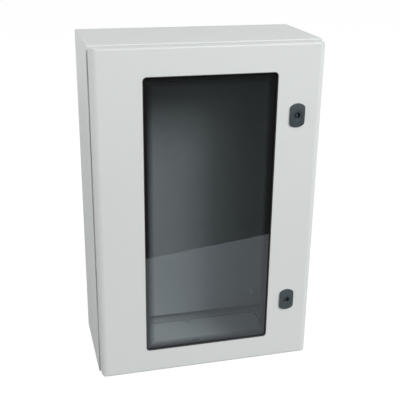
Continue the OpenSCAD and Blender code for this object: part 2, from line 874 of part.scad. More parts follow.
hinge_leaf(0);  // upper_hinge_leaf
hinge_pin(0);  // upper_hinge_pin
hinge_base(1);  // lower_hinge_base
hinge_leaf(1);  // lower_hinge_leaf
hinge_pin(1);  // lower_hinge_pin
hinge_screws();
hinge_screw_nuts();
hinge_leaf_studs();
hinge_leaf_nuts();
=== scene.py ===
"""The looks of a steel wall enclosure with a glazed door, put together piece by piece in its frame."""

import math

import bmesh
import bpy
import numpy as np
from mathutils import Matrix, Vector


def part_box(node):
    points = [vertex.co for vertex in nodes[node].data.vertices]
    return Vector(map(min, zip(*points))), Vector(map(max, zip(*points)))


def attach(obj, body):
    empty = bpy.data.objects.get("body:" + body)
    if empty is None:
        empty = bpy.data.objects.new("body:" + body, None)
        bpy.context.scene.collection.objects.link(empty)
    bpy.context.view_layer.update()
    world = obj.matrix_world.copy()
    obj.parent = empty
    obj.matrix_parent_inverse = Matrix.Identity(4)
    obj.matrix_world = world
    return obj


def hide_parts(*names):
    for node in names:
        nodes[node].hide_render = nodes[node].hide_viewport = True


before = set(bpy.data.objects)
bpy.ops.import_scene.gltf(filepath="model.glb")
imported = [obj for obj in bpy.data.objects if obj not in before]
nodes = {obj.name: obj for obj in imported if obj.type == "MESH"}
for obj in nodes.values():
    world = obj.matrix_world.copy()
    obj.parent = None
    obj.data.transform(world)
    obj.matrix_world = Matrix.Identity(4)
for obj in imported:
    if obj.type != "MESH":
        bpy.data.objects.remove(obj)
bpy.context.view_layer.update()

# The camera stands in front of the enclosure, a little to its left and above its top, and looks down at
# it. Its place, its three turns and its lens were found from the straight edges of the enclosure.
camera_place = Vector((-0.3204, -1.2555, 0.7966))
camera_turn = math.radians(14.658)
camera_dip = math.radians(21.123)
camera_lean = math.radians(0.731)
lens_pixels = 745.38
image_pixels = 400
sensor_mm = 36.0
camera_near = 0.01
camera_far = 50.0

ahead = Vector((
    math.sin(camera_turn) * math.cos(camera_dip),
    math.cos(camera_turn) * math.cos(camera_dip),
    -math.sin(camera_dip),
))
level = Vector((math.cos(camera_turn), -math.sin(camera_turn), 0.0))
rise = level.cross(ahead)
across = level * math.cos(camera_lean) + rise * math.sin(camera_lean)
upward = rise * math.cos(camera_lean) - level * math.sin(camera_lean)
camera_data = bpy.data.cameras.new("camera")
camera_data.sensor_width = sensor_mm
camera_data.lens = lens_pixels / image_pixels * sensor_mm
camera_data.clip_start = camera_near
camera_data.clip_end = camera_far
camera = bpy.data.objects.new("camera", camera_data)
camera_axes = Matrix((across, upward, -ahead)).transposed().to_4x4()
camera.matrix_world = Matrix.Translation(camera_place) @ camera_axes
bpy.context.scene.collection.objects.link(camera)
bpy.context.scene.camera = camera

# The body is one folded and welded sheet-steel shell with a light grey powder coat. The coat melts to a
# fine orange peel with ripples of one to two millimetres and dulls very slightly from place to place. Its
# colour is painted a little darker on the level folds: painted shade that tones down the light they catch.
paint_grey = (0.665, 0.690, 0.683)
paint_shade = (0.640, 0.664, 0.658)
paint_rough = 0.47
paint_rough_drift = 0.08
peel_pitch = 0.0016
peel_height = 0.000025
cloud_pitch = 0.16
# painted shade: the paint's colour is multiplied by this on the level folds, over a band a fold radius wide
fold_shade_factor = 0.84
body_fold_r = 0.002
flange_behind = 0.025


class Wire:
    """One output of a shader node. Sums and products of wires and numbers add Math nodes to its tree, and
    node() adds any other node."""

    def __init__(self, socket):
        self.socket = socket

    def node(self, kind, settings, inputs, output=0):
        """Adds a node to the tree: its settings first, then the values or links of its sockets."""
        made = self.socket.id_data.nodes.new("ShaderNode" + kind)
        for name, value in settings.items():
            setattr(made, name, value)
        plug(made, inputs)
        return Wire(made.outputs[output])

    def math(self, operation, first, second):
        return self.node("Math", {"operation": operation}, {0: first, 1: second})

    def __add__(self, other):
        return self.math("ADD", self, other)

    def __sub__(self, other):
        return self.math("SUBTRACT", self, other)

    def __rsub__(self, other):
        return self.math("SUBTRACT", other, self)

    def __mul__(self, other):
        return self.math("MULTIPLY", self, other)

    def at_least(self, other):
        return self.math("MAXIMUM", self, other)

    def at_most(self, other):
        return self.math("MINIMUM", self, other)

    def absolute(self):
        return self.math("ABSOLUTE", self, 0.0)

    def root(self):
        return self.math("SQRT", self, 0.0)

    __radd__ = __add__
    __rmul__ = __mul__


def plug(shader, inputs):
    """Sets the sockets of a node: a wire is linked, a colour gets its fourth number, and a number
    stays."""
    for name, value in inputs.items():
        socket = shader.inputs[name]
        if isinstance(value, Wire):
            shader.id_data.links.new(value.socket, socket)
        elif isinstance(value, tuple) and socket.type == "RGBA":
            socket.default_value = (*value, 1.0)
        else:
            socket.default_value = value


def new_finish(name):
    """A new material: returns it with its Principled shader and a wire that holds the place on the
    object."""
    finish = bpy.data.materials.new(name)
    finish.use_nodes = True
    shader = finish.node_tree.nodes["Principled BSDF"]
    place = finish.node_tree.nodes.new("ShaderNodeTexCoord").outputs["Object"]
    return finish, shader, Wire(place)


def noise(place, pitch, detail=2.0):
    """Soft noise between 0 and 1 whose lumps are about one pitch across."""
    return place.node("TexNoise", {}, {"Vector": place, "Scale": 1.0 / pitch, "Detail": detail}, "Fac")


def blend(amount, first, second):
    """A colour that goes from the first to the second as the amount goes from 0 to 1. The Mix node takes
    its colours at sockets 6 and 7 and gives the result at output 2."""
    return amount.node("Mix", {"data_type": "RGBA"}, {"Factor": amount, 6: first, 7: second}, 2)


def bump(height, depth):
    """A normal from a height that runs from 0 to 1 over the given depth in metres."""
    return height.node("Bump", {}, {"Height": height, "Distance": depth, "Strength": 1.0})


def fold_shade_mask(place, box, fold_r):
    """Mask of the painted shade on the folds: 1 on the level edges at a box's front and rear and 0 a fold
    radius away from them: the smaller of the depths to which the place lies within the radius of the faces,
    as a share of what it is in the middle of a fold."""
    low, high = (Vector(corner) for corner in box)
    middle = (low + high) / 2
    inner = (high - low) / 2 - Vector((fold_r,) * 3)
    y, z = (place.node("SeparateXYZ", {}, {"Vector": place}, axis) for axis in "YZ")
    y = (y - middle.y).absolute() - inner.y
    z = (z - middle.z).absolute() - inner.z
    return (y.at_most(z) * (1 / (fold_r * math.sin(math.pi / 4)))).at_least(0.0).at_most(1.0)


def powder_coat(name, box, fold_r):
    """Powder coat: the colour drifts with a wide soft noise, the gloss with it, and the skin has an orange
    peel. On the level folds at the edges of a box the colour is darkened: painted shade that tones down the
    light the folds catch."""
    finish, shader, place = new_finish(name)
    cloud = noise(place, cloud_pitch)
    peel = noise(place, peel_pitch, detail=1.0)
    even = blend(cloud, paint_shade, paint_grey)
    # painted shade: the darker colour laid on the level folds
    fold_shade_colour = tuple(fold_shade_factor * c for c in paint_shade)
    plug(shader, {
        "Base Color": blend(fold_shade_mask(place, box, fold_r), even, fold_shade_colour),
        "Roughness": paint_rough + paint_rough_drift * cloud,
        "Normal": bump(peel, peel_height),
    })
    return finish


def dress(finish, *names):
    """Gives CAD nodes a finish in place of the plain one that they were packed with."""
    for name in names:
        nodes[name].data.materials.clear()
        nodes[name].data.materials.append(finish)


door_face_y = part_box("door_panel")[0][1]
shell_low, shell_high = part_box("body_shell")
flange_low = (shell_low[0], door_face_y + flange_behind, shell_low[2])
body_paint = powder_coat("body_paint", (flange_low, shell_high), body_fold_r)
dress(body_paint, "body_shell")

# The gland plate closes the cable opening in the floor. It is a flat plate in the body's paint on a frame
# of black cellular rubber, which is squeezed out round its edge, and six zinc-plated hexagon screws with
# captive washers hold it down.
gland_corner_r = 0.004
gland_seal_w = 0.014
gland_seal_over = 0.0015
gland_seal_rise = 0.0022
gland_step = 0.02
bulge_steps = 9
corner_steps = 12
sharp_angle = math.radians(32)
edge_break = 0.0003
merge_reach = 1e-7  # points nearer than this are one point
bloom_pitch = 0.05
bloom_lift = 1.5
rubber_rough_drift = 0.12
dress(body_paint, "gland_plate")


def moulded_rubber(name, colour, rough, grain_pitch, grain_height):
    """Moulded rubber: nearly black, with a fine mould grain and a dusty bloom that lifts the colour."""
    finish, shader, place = new_finish(name)
    bloom = noise(place, bloom_pitch)
    grain = noise(place, grain_pitch, detail=3.0)
    plug(shader, {
        "Base Color": blend(bloom, colour, tuple(bloom_lift * c for c in colour)),
        "Roughness": rough + rubber_rough_drift * grain,
        "Normal": bump(grain, grain_height),
    })
    return finish


black_rubber = moulded_rubber(
    "black_rubber", (0.013, 0.013, 0.013), rough=0.55, grain_pitch=0.0008, grain_height=0.00004,
)


def loop(half_w, half_h, radius, side_step, corner_steps):
    """Points round a rectangle with round corners, as columns, for every row's half sizes and corner
    radius. A corner's point is its centre plus the radius towards the turn, and a side's points divide
    the straight between corners."""
    sizes = np.broadcast_arrays(half_w, half_h, radius)
    half_w, half_h, radius = (np.reshape(value, (-1, 1)) for value in sizes)
    quarter = np.linspace(0.0, math.pi / 2, corner_steps + 1)
    columns = []
    for number, (side_x, side_z) in enumerate(((1, 1), (-1, 1), (-1, -1), (1, -1))):
        turn = quarter + number * math.pi / 2
        columns.append(np.stack((
            side_x * (half_w - radius) + radius * np.cos(turn),
            side_z * (half_h - radius) + radius * np.sin(turn),
        ), -1))
    closed = columns[1:] + columns[:1]
    sides = []
    for before, after in zip(columns, closed):
        gap = np.linalg.norm(after[0, 0] - before[0, -1])
        share = np.linspace(0.0, 1.0, max(2, int(gap / side_step)) + 1)[1:-1, None]
        sides.append(before[:, -1:] * (1 - share) + after[:, :1] * share)
    return np.concatenate([part for pair in zip(columns, sides) for part in pair], axis=1)


def piece(name, finish, body, stands_for, surfaces, ring=False):
    """One piece from grids of points. A face joins each point to the next in its row and to both in the
    next row; rows close on themselves, and in a ring the last row meets the first. Points that meet at a
    pole are merged."""
    count, length = surfaces.shape[-3:-1]
    row = np.arange(count if ring else count - 1)[:, None]
    place = np.arange(length)[None, :]
    this_row, next_row = row * length, (row + 1) % count * length
    beside = (place + 1) % length
    faces = np.stack((this_row + place, this_row + beside, next_row + beside, next_row + place), -1)
    grids = surfaces.reshape(-1, count * length, 3)
    faces = faces.reshape(1, -1, 4) + count * length * np.arange(len(grids))[:, None, None]
    mesh = bpy.data.meshes.new(name)
    mesh.from_pydata(grids.reshape(-1, 3).tolist(), [], faces.reshape(-1, 4).tolist())
    work = bmesh.new()
    work.from_mesh(mesh)
    bmesh.ops.remove_doubles(work, verts=work.verts, dist=merge_reach)
    bmesh.ops.recalc_face_normals(work, faces=work.faces)
    work.to_mesh(mesh)
    work.free()
    mesh.shade_smooth()
    mesh.set_sharp_from_angle(angle=sharp_angle)
    mesh.materials.append(finish)
    made = bpy.data.objects.new(name, mesh)
    bpy.context.scene.collection.objects.link(made)
    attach(made, body)
    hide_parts(*stands_for)


def squeezed_seal(plate, foot_z):
    """Rubber frame carried round the plate's outline: its rows run up from the opening under the plate,
    along the plate's underside and up its edge, and down over the rounded bulge that stands out past the
    plate."""
    low, high = np.array(plate)
    half_x, half_y = ((high - low) / 2)[:2]
    bend = np.linspace(0.0, math.pi, bulge_steps)
    outset = np.concatenate((
        [-gland_seal_w, -gland_seal_w, 0.0], gland_seal_over / 2 * (1 - np.cos(bend)), [gland_seal_over],
    ))
    crest = gland_seal_rise - gland_seal_over / 2
    height = np.concatenate((
        [foot_z, low[2], low[2]], low[2] + crest + gland_seal_over / 2 * np.sin(bend), [foot_z],
    ))
    corner_r = np.maximum(gland_corner_r + outset, edge_break)
    line = loop(half_x + outset, half_y + outset, corner_r, gland_step, corner_steps)
    x, y = np.moveaxis(line, -1, 0) + ((low + high) / 2)[:2, None, None]
    return np.stack((x, y, np.broadcast_to(height[:, None], x.shape)), -1)


piece(
    "gland_seal_squeezed", black_rubber, "cabinet", ["gland_plate_seal"],
    squeezed_seal(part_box("gland_plate"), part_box("gland_plate_seal")[0][2]), ring=True,
)


plating_drift_pitch = 0.012
plating_grain_pitch = 0.0006
plating_grain_height = 0.00001
plating_rough_drift = 0.15


def plated_steel(name, colour, dark, rough, metal=1.0):
    """Plated steel: a metal whose colour and gloss drift, with a fine satin grain. A thick passivated
    coat is less of a mirror than bare metal is."""
    finish, shader, place = new_finish(name)
    drift = noise(place, plating_drift_pitch)
    grain = noise(place, plating_grain_pitch, detail=3.0)
    plug(shader, {
        "Base Color": blend(drift, dark, colour),
        "Metallic": metal,
        "Roughness": rough + plating_rough_drift * grain,
        "Normal": bump(grain, plating_grain_height),
    })
    return finish


zinc = plated_steel(
    "zinc_fasteners", (0.66, 0.68, 0.69), dark=(0.56, 0.58, 0.59), rough=0.36, metal=0.6,
)
up, inwards, backwards = (0, 0, 1), (-1, 0, 0), (0, 1, 0)
turn_steps = 48
turns = np.linspace(0.0, 2 * np.pi, turn_steps, endpoint=False)
copy_gap = 0.008
hex_turned = 0.95
hex_slope = math.tan(math.radians(30))
head_rim = 0.8
head_dish = 0.7
gland_screw_r = 0.003
gland_washer_t = 0.0016
gland_head_r = 0.005
gland_head_h = 0.004


def copies(name, along):
    """Each copy in a CAD node whose pieces lie side by side along one axis: the foot in the middle of its
    near end, and the length and half width that all of them share. Points belong to one copy until a
    coordinate across the axis jumps by more than the gap."""
    points = np.empty(3 * len(nodes[name].data.vertices))
    nodes[name].data.vertices.foreach_get("co", points)
    points = points.reshape(-1, 3)
    along = np.array(along, float)
    groups = np.zeros(points.shape, int)
    for axis in np.flatnonzero(along == 0):
        values = np.sort(points[:, axis])
        cuts = values[1:][np.diff(values) > copy_gap]
        groups[:, axis] = np.searchsorted(cuts, points[:, axis], "right")
    owner = np.unique(groups, axis=0, return_inverse=True)[1].ravel()
    low = np.full((owner.max() + 1, 3), np.inf)
    high = -low
    np.minimum.at(low, owner, points)
    np.maximum.at(high, owner, points)
    half = (high[0] - low[0]) / 2
    length = 2 * half @ np.abs(along)
    return (low + high - along * length) / 2, length, half[along == 0].max()


def rows(*pairs):
    """Radius and height of each row of a turned shape, each given as one number or as one for every
    turn."""
    values = np.array([np.broadcast_to(value, turns.shape) for pair in pairs for value in pair])
    return values[0::2], values[1::2]


def turned(feet, along, radius, height):
    """Grid of points round an axis: the foot, plus the height along it, plus the radius towards each
    turn."""
    along = np.array(along, float)
    first = np.roll(np.abs(along), 1)
    circle = np.cos(turns)[:, None] * first + np.sin(turns)[:, None] * np.cross(along, first)
    return feet[:, None, None] + radius[..., None] * circle + height[..., None] * along


def hexagon(corner_r):
    """Radius of a hexagon at each turn: half its width over the cosine of the turn from the middle of the
    nearest flat. With it come the radius that its ends are turned down to and the height that the turning
    takes off."""
    sixth = math.pi / 3
    flats = corner_r * math.cos(sixth / 2) / np.cos((turns + sixth / 2) % sixth - sixth / 2)
    end_r = hex_turned * flats.min()
    return flats, end_r, (flats - end_r) * hex_slope


def hex_screw(feet, along, length, shank_r, washer_r, washer_t, head_r, head_h):
    """Hexagon screw with a captive washer: its rows climb the shank, pass over the washer's rounded rim
    and up the flats, and close over a slightly dished head."""
    flats, end_r, off = hexagon(head_r)
    seat = length - head_h - washer_t
    under = seat + washer_t
    rim = washer_r - edge_break
    return turned(feet, along, *rows(
        (0, 0), (shank_r - edge_break, 0), (shank_r, edge_break), (shank_r, seat), (rim, seat),
        (washer_r, seat + edge_break), (washer_r, under - edge_break), (rim, under), (flats, under),
        (flats, length - off), (end_r, length), (head_rim * end_r, length),
        (head_dish * end_r, length - edge_break), (0, length - edge_break),
    ))


screw_feet, screw_l, washer_r = copies("gland_plate_screws", up)
piece(
    "gland_screws_turned", zinc, "cabinet", ["gland_plate_screws"],
    hex_screw(
        screw_feet, up, screw_l, gland_screw_r, washer_r, gland_washer_t, gland_head_r, gland_head_h,
    ),
)

# The mounting plate is a flat galvanised sheet that stands off the back on four welded studs with
# spacers, washers and hexagon nuts. Its zinc coat has frozen into a faint spangle of flat crystals.
spangle_pitch = 0.011
spangle_dark = (0.563, 0.583, 0.595)
spangle_light = (0.590, 0.610, 0.622)
spangle_metal = 0.15
spangle_rough = 0.52
spangle_rough_drift = 0.06
sheet_grain_pitch = 0.0009
sheet_grain_height = 0.00001
m8_pitch = 0.00125
thread_rows = 6
thread_depth = 0.6
nut_sink = 0.1


def galvanised(name):
    """Galvanised sheet: each crystal of the spangle has its own grey and its own gloss."""
    finish, shader, place = new_finish(name)
    crystal = place.node("TexVoronoi", {}, {"Vector": place, "Scale": 1.0 / spangle_pitch}, "Color")
    tone = crystal.node("SeparateColor", {}, {"Color": crystal}, "Red")
    grain = noise(place, sheet_grain_pitch, detail=3.0)
    plug(shader, {
        "Base Color": blend(tone, spangle_dark, spangle_light),
        "Metallic": spangle_metal,
        "Roughness": spangle_rough + spangle_rough_drift * tone,
        "Normal": bump(grain, sheet_grain_height),
    })
    return finish


def threaded(feet, along, length, crest_r, pitch):
    """Threaded rod: the radius falls by the thread's depth and rises again once in each pitch, a full
    pitch later for each full turn, and the tip is turned down at 45 degrees."""
    depth = thread_depth * pitch
    height = np.append(np.arange(0.0, length, pitch / thread_rows), length)[:, None] + 0 * turns
    wave = np.abs(2 * ((height / pitch - turns / (2 * np.pi)) % 1) - 1)
    radius = np.minimum(crest_r - depth * wave, crest_r - depth + length - height)
    radius = np.vstack((0 * turns, radius, 0 * turns))
    return turned(feet, along, radius, np.vstack((height[0], height, height[-1])))


def ring_rows(outer_r, hole_r, thickness):
    """Rows of a flat ring: up its broken outer edges, over its face and down through its hole."""
    return rows(
        (outer_r - edge_break, 0), (outer_r, edge_break), (outer_r, thickness - edge_break),
        (outer_r - edge_break, thickness), (hole_r, thickness), (hole_r, 0),
    )


def nut_rows(corner_r, hole_r, thickness):
    """Rows of a hexagon nut: up its flats between the turned-down ends, and down its countersunk hole."""
    flats, end_r, off = hexagon(corner_r)
    sink = nut_sink * hole_r
    return rows(
        (end_r, 0), (flats, off), (flats, thickness - off), (end_r, thickness), (hole_r + sink, thickness),
        (hole_r, thickness - sink), (hole_r, sink), (hole_r + sink, 0),
    )


def make_studs(node, along, finish, body, pitch):
    """Threaded studs in the places of a CAD node."""
    feet, length, crest_r = copies(node, along)
    piece(node + "_threaded", finish, body, [node], threaded(feet, along, length, crest_r, pitch))


def make_nuts(node, along, finish, body, hole_r):
    """Turned hexagon nuts in the places of a CAD node."""
    feet, thickness, corner_r = copies(node, along)
    grids = turned(feet, along, *nut_rows(corner_r, hole_r, thickness))
    piece(node + "_turned", finish, body, [node], grids, ring=True)


def make_rings(node, along, finish, body, hole_r):
    """Washers or sleeves in the places of a CAD node."""
    feet, thickness, outer_r = copies(node, along)
    grids = turned(feet, along, *ring_rows(outer_r, hole_r, thickness))
    piece(node + "_turned", finish, body, [node], grids, ring=True)


m8_hole_r = 0.0041
galvanised_sheet = galvanised("galvanised_sheet")
dress(galvanised_sheet, "mounting_plate")
make_studs("plate_studs", tuple(-v for v in backwards), zinc, "cabinet", m8_pitch)
make_rings("plate_spacers", backwards, zinc, "cabinet", m8_hole_r)
make_rings("plate_washers", backwards, zinc, "cabinet", m8_hole_r)
make_nuts("plate_nuts", backwards, zinc, "cabinet", m8_hole_r)

# Two earth points take the protective conductors, one welded to the right wall of the body and one to the
# door. Each is a brass stud with two nuts and a washer between them.
m6_pitch = 0.001
m6_hole_r = 0.0031
m6_nut_r = 0.00577
m8_nut_r = 0.0075
earth_washer_t = 0.0016
brass = plated_steel("earth_brass", (0.75, 0.56, 0.24), dark=(0.60, 0.42, 0.16), rough=0.22)


def make_earth_point(side, along, body, nut_r, hole_r, pitch):
    """Earth stud with its nuts: a nut, a washer that stands out past it, and a second nut, one on the
    other."""
    node = side + "_earth_nuts"
    make_studs(side + "_earth_stud", along, brass, body, pitch)
    feet, length, washer_r = copies(node, along)
    nut_t = (length - earth_washer_t) / 2
    second = feet + np.array(along) * (nut_t + earth_washer_t)
    nuts = turned(np.vstack((feet, second)), along, *nut_rows(nut_r, hole_r, nut_t))
    piece(side + "_earth_nuts_turned", brass, body, [node], nuts, ring=True)
    between = feet + np.array(along) * nut_t
    washer = turned(between, along, *ring_rows(washer_r, hole_r, earth_washer_t))
    piece(side + "_earth_washer", brass, body, [], washer, ring=True)


make_earth_point("body", inwards, "cabinet", m8_nut_r, m8_hole_r, m8_pitch)
make_earth_point("door", backwards, "door", m6_nut_r, m6_hole_r, m6_pitch)

# The hinges are hidden between the door and the body: a zinc-plated steel base screwed to the flange, a
# leaf on studs behind the door, and a headed pin through their knuckles.
m4_pitch = 0.0007
m4_hole_r = 0.0021
pin_head_h = 0.002
pin_dome = 0.4
pin_dome_steps = 6
pin_r = 0.0025
sunk_head_h = 0.0015
sunk_shank_r = 0.002
sunk_key_r = 0.0016
sunk_key_depth = 0.0011
hinge_steel = plated_steel(
    "hinge_casting", (0.50, 0.52, 0.54), dark=(0.38, 0.39, 0.41), rough=0.46, metal=0.7,
)


def pin_rows(length, head_r):
    """Rows of a headed pin: a broken tip, the shank, and a head whose top rises as a quarter of an
    ellipse."""
    dome = np.linspace(0.0, math.pi / 2, pin_dome_steps)
    top = [(head_r * math.cos(a), length - pin_dome * pin_head_h * (1 - math.sin(a))) for a in dome]
    neck = length - pin_head_h
    return rows((0, 0), (pin_r - edge_break, 0), (pin_r, edge_break), (pin_r, neck), (head_r, neck), *top)


def sunk_screw_rows(length, head_r):
    """Rows of a countersunk screw: from its hexagon socket out over the head, down the cone and the
    shank."""
    socket = hexagon(sunk_key_r)[0]
    return rows(
        (0, sunk_key_depth), (socket, sunk_key_depth), (socket, 0), (head_r - edge_break, 0),
        (head_r, edge_break), (sunk_shank_r, sunk_head_h), (sunk_shank_r, length - edge_break),
        (sunk_shank_r - edge_break, length), (0, length),
    )


for end in ("upper", "lower"):
    dress(hinge_steel, end + "_hinge_base", end + "_hinge_leaf")
    pin_feet, pin_l, pin_head_r = copies(end + "_hinge_pin", up)
    piece(
        end + "_hinge_pin_turned", zinc, "cabinet", [end + "_hinge_pin"],
        turned(pin_feet, up, *pin_rows(pin_l, pin_head_r)),
    )
sunk_feet, sunk_l, sunk_head_r = copies("hinge_screws", backwards)
piece(
    "hinge_screws_turned", zinc, "cabinet", ["hinge_screws"],
    turned(sunk_feet, backwards, *sunk_screw_rows(sunk_l, sunk_head_r)),
)
make_nuts("hinge_screw_nuts", backwards, zinc, "cabinet", m4_hole_r)
make_studs("hinge_leaf_studs", backwards, zinc, "door", m4_pitch)
make_nuts("hinge_leaf_nuts", backwards, zinc, "door", m4_hole_r)

# The door is pressed from one sheet, with rolled upright edges and tighter folds at its top and bottom,
# and has the same powder coat as the body.
# the fold radius also sets the width of the painted shade on the door's level folds
door_fold_r = 0.003
door_paint = powder_coat("door_paint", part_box("door_panel"), door_fold_r)
dress(door_paint, "door_panel")

# The door seal is a bead of foamed polyurethane laid round the back of the door, where the lip of the
# body presses into it. It is poured by a nozzle, so that its width and its crown waver a little on their
# way round.
seal_half_w = 0.005
seal_corner_r = 0.00925
seal_squareness = 0.55
seal_skin = 0.0001
seal_waver = 0.0003
seal_waves = ((37, 0.0), (23, 1.0), (61, 2.0))
seal_profile_steps = 15
seal_side_step = 0.006
foam = moulded_rubber(
    "foam_seal", (0.030, 0.030, 0.032), rough=0.75, grain_pitch=0.0012, grain_height=0.0002,
)


def seal_bead(low, high):
    """Bead carried round its line: each profile point lies a superellipse's offset across the line and
    its height behind the door, both drawn in by slow waves along the way. Each wave has a count and a
    phase."""
    low, high = np.array(low), np.array(high)
    half_x, height, half_z = (high - low) / (2, 1, 2)
    turn = np.linspace(0.0, np.pi, seal_profile_steps)[:, None]
    offset = seal_half_w * np.sign(np.cos(turn)) * np.abs(np.cos(turn)) ** seal_squareness
    line = loop(half_x - seal_half_w, half_z - seal_half_w, seal_corner_r, seal_side_step, corner_steps)
    way = np.cumsum(np.linalg.norm(np.diff(line, axis=1, append=line[:, :1]), axis=2), axis=1)
    lap = 2 * np.pi * way / way[0, -1]
    swell = sum(np.sin(count * lap + phase) for count, phase in seal_waves)
    waver = seal_waver * (swell + len(seal_waves)) / (2 * len(seal_waves))
    heading = np.roll(line, -1, axis=1) - np.roll(line, 1, axis=1)
    heading /= np.linalg.norm(heading, axis=2, keepdims=True)
    outward = np.stack((heading[..., 1], -heading[..., 0]), -1)
    laid = line + (offset * (1 - (seal_skin + waver) / seal_half_w))[..., None] * outward
    crest = np.abs(np.sin(turn)) ** seal_squareness * (height - seal_skin - waver)
    return np.stack((laid[..., 0], crest, laid[..., 1]), -1) + (low + high) / 2 - (0, height / 2, 0)


piece(
    "door_seal_poured", foam, "door", ["door_seal"],
    seal_bead(*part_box("door_seal")), ring=True,
)

# The window is a smoked safety glass behind a thin lip of black rubber. A black border is fired on the
# face of the glass to hide what holds it, and fades out inwards. Four galvanised strips on weld studs
# hold the glass.
glass_face_tint = (0.738, 0.758, 0.762)
glass_index = 1.60
glass_lap = 0.009
border_solid = 0.0055
border_end = 0.0175
border_corner_r = 0.007
border_black = (0.010, 0.010, 0.010)
border_rough = 0.5
mirror_tint = (0.82, 0.90, 1.0)
mirror_rough = 0.01
glass_wave_pitch = 0.09
glass_wave_height = 0.00001
lip_sight = 0.0015
lip_round = 0.0006
lip_gap = 0.0001
lip_side_step = 0.02
lip_steps = 5
frame_lap = 0.0095
frame_corner_r = 0.0035
door_sheet_t = 0.0015


def window_rubber(low, high):
    """Rubber frame carried round the cut-out: its rows run from the outer edge of the flat frame behind
    the door in to the lip, round the lip's nose in two quarter turns, and back along the face that the
    glass lies on."""
    low, high = np.array(low), np.array(high)
    half_x, back, half_z = (high - low) / (2, 1, 2)
    sheet = door_face_y + door_sheet_t - low[1]
    quarter = np.linspace(0.0, math.pi / 2, lip_steps)
    inset = frame_lap + np.concatenate((
        [-frame_lap, -frame_lap, lip_gap], lip_gap + lip_round * (1 - np.cos(quarter)),
        lip_sight - lip_round * (1 - np.sin(quarter)), [lip_sight],
    ))
    depth = np.concatenate((
        [back, sheet, sheet], lip_round * (1 - np.sin(quarter)), lip_round * (1 - np.cos(quarter)), [back],
    ))
    radius = np.where(inset > 0, border_corner_r + frame_lap - inset, frame_corner_r)
    line = loop(half_x - inset, half_z - inset, radius, lip_side_step, corner_steps)
    depth = np.broadcast_to(depth[:, None], line.shape[:2])
    return np.stack((line[..., 0], depth, line[..., 1]), -1) + (low + high) / 2 - (0, back / 2, 0)


piece(
    "window_seal_moulded", black_rubber, "door", ["window_seal"],
    window_rubber(*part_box("window_seal")), ring=True,
)
dress(galvanised_sheet, "retainer_left", "retainer_right", "retainer_top", "retainer_bottom")
make_studs("retainer_studs", backwards, zinc, "door", m4_pitch)
make_nuts("retainer_nuts", backwards, zinc, "door", m4_hole_r)


def smoked_glass(name):
    """Grey-tinted glass: light passes straight through and is tinted at each face, and each outer side
    mirrors the share that its refractive index gives, with a faint blue cast. On its front face a black
    border ends at the rounded rectangle that lies a set distance inside the cut-out: the distance to a
    rounded rectangle is the length of the part of the place outside its inner rectangle, plus the largest
    inside depth, less the corner radius."""
    finish, shader, place = new_finish(name)
    tree = finish.node_tree
    low, high = (Vector(corner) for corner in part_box("window_pane"))
    middle = (low + high) / 2
    half = (high - low) / 2
    x, y, z = (place.node("SeparateXYZ", {}, {"Vector": place}, axis) for axis in "XYZ")
    past_x = (x - middle.x).absolute() - (half.x - glass_lap - border_corner_r)
    past_z = (z - middle.z).absolute() - (half.z - glass_lap - border_corner_r)
    out_x, out_z = past_x.at_least(0.0), past_z.at_least(0.0)
    outside = (out_x * out_x + out_z * out_z).root()
    inward = border_corner_r - outside - past_x.at_least(past_z).at_most(0.0)
    cover = ((border_end - inward) * (1 / (border_end - border_solid))).at_least(0.0).at_most(1.0)
    on_front = y.math("LESS_THAN", y, middle.y)
    mirror_share = place.node("Fresnel", {}, {"IOR": glass_index})
    inside = place.node("NewGeometry", {}, {}, "Backfacing")
    wave = bump(noise(place, glass_wave_pitch), glass_wave_height)
    clear = place.node("BsdfTransparent", {}, {"Color": glass_face_tint})
    mirror = place.node("BsdfGlossy", {}, {"Color": mirror_tint, "Roughness": mirror_rough, "Normal": wave})
    plug(shader, {"Base Color": border_black, "Roughness": border_rough, "Specular IOR Level": 0.0})
    bordered = place.node("MixShader", {}, {0: cover * on_front, 1: clear, 2: Wire(shader.outputs[0])})
    seen = place.node("MixShader", {}, {0: mirror_share * (1 - inside), 1: bordered, 2: mirror})
    tree.links.new(seen.socket, tree.nodes["Material Output"].inputs["Surface"])
    return finish


dress(smoked_glass("smoked_glass"), "window_pane")

# Each lock is a die-cast housing with a dark satin coat, a key barrel, a rubber seal under its face
# plate, a nut behind the door, and a cam that a screw holds on the barrel. The face plate is crowned from
# top to bottom and has round edges, and a post with two wings for the key stands deep in the barrel.
lock_grey = (0.045, 0.058, 0.063)
lock_grain_dark = 0.85
lock_grain_light = 1.1
lock_grain_pitch = 0.0007
lock_grain_height = 0.00002
lock_drift_pitch = 0.008
lock_rough = 0.42
lock_rough_drift = 0.10
lock_specular = 0.3
plate_proud = 0.0035
plate_seal_t = 0.0008
plate_arc_r = 0.018
plate_corner_r = 0.0055
plate_crown = 0.0014
plate_edge_r = 0.0007
plate_side_steps = 16
plate_arch_steps = 44
plate_edge_steps = 7
plate_face_steps = 6
bore_r = 0.00805
bore_lip = 0.0004
bore_end = 0.01005
neck_bore_r = 0.00655
tube_r = 0.0097
tube_end = 0.022
tube_pitch = 0.0015
barrel_r = 0.008
barrel_end = 0.0128
neck_r = 0.0065
key_r = 0.0052
key_depth = 0.007
key_top = 0.0035
key_post_r = 0.0024
key_wing_half = 0.0011
key_wing_r = 0.0042
level_guard = 1e-9  # keeps a level or upright ray from dividing by zero
cam_square = 0.008
lock_nut_hole_r = 0.0098
cam_screw_r = 0.0025
cam_washer_t = 0.0016
cam_head_r = 0.0055
cam_head_h = 0.0032


